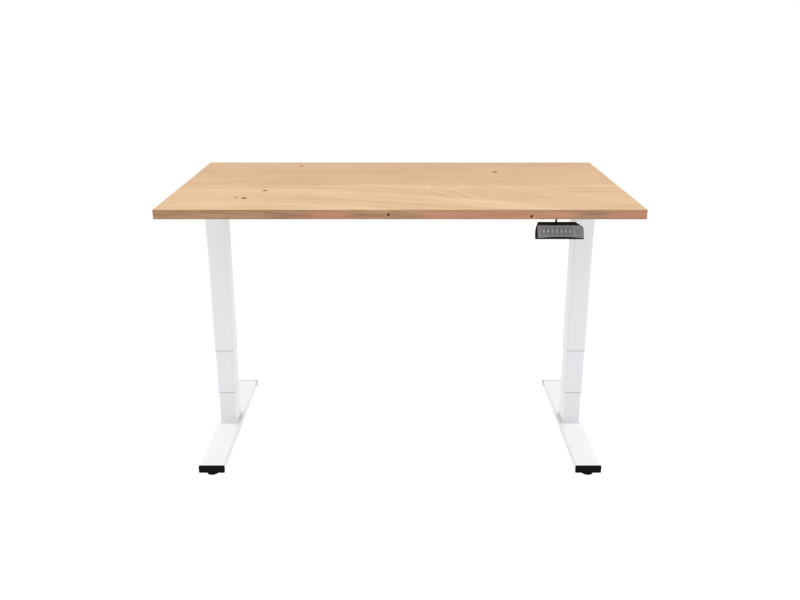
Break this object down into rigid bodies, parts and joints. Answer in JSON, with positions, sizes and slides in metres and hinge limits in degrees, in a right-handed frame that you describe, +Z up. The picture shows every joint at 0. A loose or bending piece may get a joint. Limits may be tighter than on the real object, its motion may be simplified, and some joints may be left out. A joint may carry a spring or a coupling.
{
  "type": "height adjustable standing desk",
  "caption": "Electric sit-stand desk: oak top on two white three-stage lifting columns with flat feet, motors, control box and key handset.",
  "frame": {"origin": "on the floor under the middle of the top", "axes": "+Z up, +Y from the sitting side to the back, +X to the sitter's right"},
  "size_m": [1.4, 0.8001, 0.88],
  "materials": {
    "oak": "oiled oak boards, satin",
    "white_steel": "fine white powder coat",
    "black_plastic": "moulded, fine texture",
    "guide_plastic": "moulded acetal",
    "nut_plastic": "machined acetal",
    "bright_steel": "rolled thread, greased",
    "zinc_steel": "zinc plated",
    "cast_housing": "die cast",
    "motor_can": "black enamel",
    "circuit_board": "green solder mask",
    "grey_face": "satin grey overlay",
    "grey_key": "satin grey, pale sign",
    "display_glass": "smoked window"
  },
  "bodies": {
    "base": {"left_foot_beam": "white_steel", "left_foot_caps": "black_plastic", "left_base_plate": "white_steel", "left_inner_tube": "white_steel", "left_inner_guide": "guide_plastic", "left_lower_nut": "nut_plastic", "right_foot_beam": "white_steel", "right_foot_caps": "black_plastic", "right_base_plate": "white_steel", "right_inner_tube": "white_steel", "right_inner_guide": "guide_plastic", "right_lower_nut": "nut_plastic", "foot_bolts": "zinc_steel"},
    "top": {"left_outer_tube": "white_steel", "left_outer_guide": "guide_plastic", "left_gear_housing": "cast_housing", "left_motor": "motor_can", "left_side_arm": "white_steel", "right_outer_tube": "white_steel", "right_outer_guide": "guide_plastic", "right_gear_housing": "cast_housing", "right_motor": "motor_can", "right_side_arm": "white_steel", "screw_bearings": "bright_steel", "front_rail": "white_steel", "rear_rail": "white_steel", "table_top": "oak", "wood_screws": "zinc_steel", "control_lid": "black_plastic", "control_tray": "black_plastic", "control_board": "circuit_board", "handset_housing": "black_plastic", "handset_face": "grey_face", "handset_display": "display_glass", "handset_board": "circuit_board"},
    "left_middle": {"left_middle_tube": "white_steel", "left_middle_guides": "guide_plastic", "left_upper_nut": "nut_plastic"},
    "right_middle": {"right_middle_tube": "white_steel", "right_middle_guides": "guide_plastic", "right_upper_nut": "nut_plastic"},
    "left_lower_drive": {"left_lower_screw": "bright_steel"},
    "left_upper_drive": {"left_upper_screw": "bright_steel", "left_worm_wheel": "nut_plastic"},
    "left_motor_rotor": {"left_motor_worm": "bright_steel"},
    "left_front_foot": {"left_front_glide": "black_plastic"},
    "left_rear_foot": {"left_rear_glide": "black_plastic"},
    "right_lower_drive": {"right_lower_screw": "bright_steel"},
    "right_upper_drive": {"right_upper_screw": "bright_steel", "right_worm_wheel": "nut_plastic"},
    "right_motor_rotor": {"right_motor_worm": "bright_steel"},
    "right_front_foot": {"right_front_glide": "black_plastic"},
    "right_rear_foot": {"right_rear_glide": "black_plastic"},
    "down_button": {"down_key": "grey_key"},
    "up_button": {"up_key": "grey_key"},
    "one_button": {"one_key": "grey_key"},
    "two_button": {"two_key": "grey_key"},
    "three_button": {"three_key": "grey_key"},
    "four_button": {"four_key": "grey_key"},
    "store_button": {"store_key": "grey_key"}
  },
  "joints": [
    {"name": "lift", "type": "slide", "parent": "base", "child": "top", "axis": [0, 0, 1], "range_m": [-0.215, 0.425]},
    {"name": "left_middle_slide", "type": "slide", "parent": "base", "child": "left_middle", "axis": [0, 0, 1], "range_m": [-0.1125, 0.2125]},
    {"name": "left_lower_screw_turn", "type": "hinge", "parent": "left_middle", "child": "left_lower_drive", "pos_m": [-0.603, 0, 0.628], "axis": [0, 0, 1], "range_deg": [-4838.5, 9563.5]},
    {"name": "left_upper_screw_turn", "type": "hinge", "parent": "top", "child": "left_upper_drive", "pos_m": [-0.603, 0, 0.8153], "axis": [0, 0, 1], "range_deg": [-4838.5, 9563.5]},
    {"name": "left_motor_turn", "type": "hinge", "parent": "top", "child": "left_motor_rotor", "pos_m": [-0.603, 0.0303, 0.8153], "axis": [1, 0, 0], "range_deg": [-48376, 95626]},
    {"name": "left_front_level", "type": "slide", "parent": "base", "child": "left_front_foot", "axis": [0, 0, 1], "range_m": [-0.01, 0]},
    {"name": "left_rear_level", "type": "slide", "parent": "base", "child": "left_rear_foot", "axis": [0, 0, 1], "range_m": [-0.01, 0]},
    {"name": "right_middle_slide", "type": "slide", "parent": "base", "child": "right_middle", "axis": [0, 0, 1], "range_m": [-0.1125, 0.2125]},
    {"name": "right_lower_screw_turn", "type": "hinge", "parent": "right_middle", "child": "right_lower_drive", "pos_m": [0.603, 0, 0.628], "axis": [0, 0, 1], "range_deg": [-4838.5, 9563.5]},
    {"name": "right_upper_screw_turn", "type": "hinge", "parent": "top", "child": "right_upper_drive", "pos_m": [0.603, 0, 0.8153], "axis": [0, 0, 1], "range_deg": [-4838.5, 9563.5]},
    {"name": "right_motor_turn", "type": "hinge", "parent": "top", "child": "right_motor_rotor", "pos_m": [0.603, -0.0303, 0.8153], "axis": [1, 0, 0], "range_deg": [-48376, 95626]},
    {"name": "right_front_level", "type": "slide", "parent": "base", "child": "right_front_foot", "axis": [0, 0, 1], "range_m": [-0.01, 0]},
    {"name": "right_rear_level", "type": "slide", "parent": "base", "child": "right_rear_foot", "axis": [0, 0, 1], "range_m": [-0.01, 0]},
    {"name": "down_press", "type": "slide", "parent": "top", "child": "down_button", "axis": [0, 0.866, -0.5], "range_m": [0, 0.0008], "stiffness_N_per_m": 1200, "springref_m": -0.0002},
    {"name": "up_press", "type": "slide", "parent": "top", "child": "up_button", "axis": [0, 0.866, -0.5], "range_m": [0, 0.0008], "stiffness_N_per_m": 1200, "springref_m": -0.0002},
    {"name": "one_press", "type": "slide", "parent": "top", "child": "one_button", "axis": [0, 0.866, -0.5], "range_m": [0, 0.0008], "stiffness_N_per_m": 1200, "springref_m": -0.0002},
    {"name": "two_press", "type": "slide", "parent": "top", "child": "two_button", "axis": [0, 0.866, -0.5], "range_m": [0, 0.0008], "stiffness_N_per_m": 1200, "springref_m": -0.0002},
    {"name": "three_press", "type": "slide", "parent": "top", "child": "three_button", "axis": [0, 0.866, -0.5], "range_m": [0, 0.0008], "stiffness_N_per_m": 1200, "springref_m": -0.0002},
    {"name": "four_press", "type": "slide", "parent": "top", "child": "four_button", "axis": [0, 0.866, -0.5], "range_m": [0, 0.0008], "stiffness_N_per_m": 1200, "springref_m": -0.0002},
    {"name": "store_press", "type": "slide", "parent": "top", "child": "store_button", "axis": [0, 0.866, -0.5], "range_m": [0, 0.0008], "stiffness_N_per_m": 1200, "springref_m": -0.0002}
  ],
  "couplings": [
    {"joint": "left_middle_slide", "follows": "lift", "ratio": 0.5},
    {"joint": "right_middle_slide", "follows": "lift", "ratio": 0.5},
    {"joint": "left_lower_screw_turn", "follows": "lift", "rad_per_m": 392.7},
    {"joint": "left_upper_screw_turn", "follows": "lift", "rad_per_m": 392.7},
    {"joint": "left_motor_turn", "follows": "lift", "rad_per_m": 3927},
    {"joint": "right_lower_screw_turn", "follows": "lift", "rad_per_m": 392.7},
    {"joint": "right_upper_screw_turn", "follows": "lift", "rad_per_m": 392.7},
    {"joint": "right_motor_turn", "follows": "lift", "rad_per_m": 3927}
  ]
}
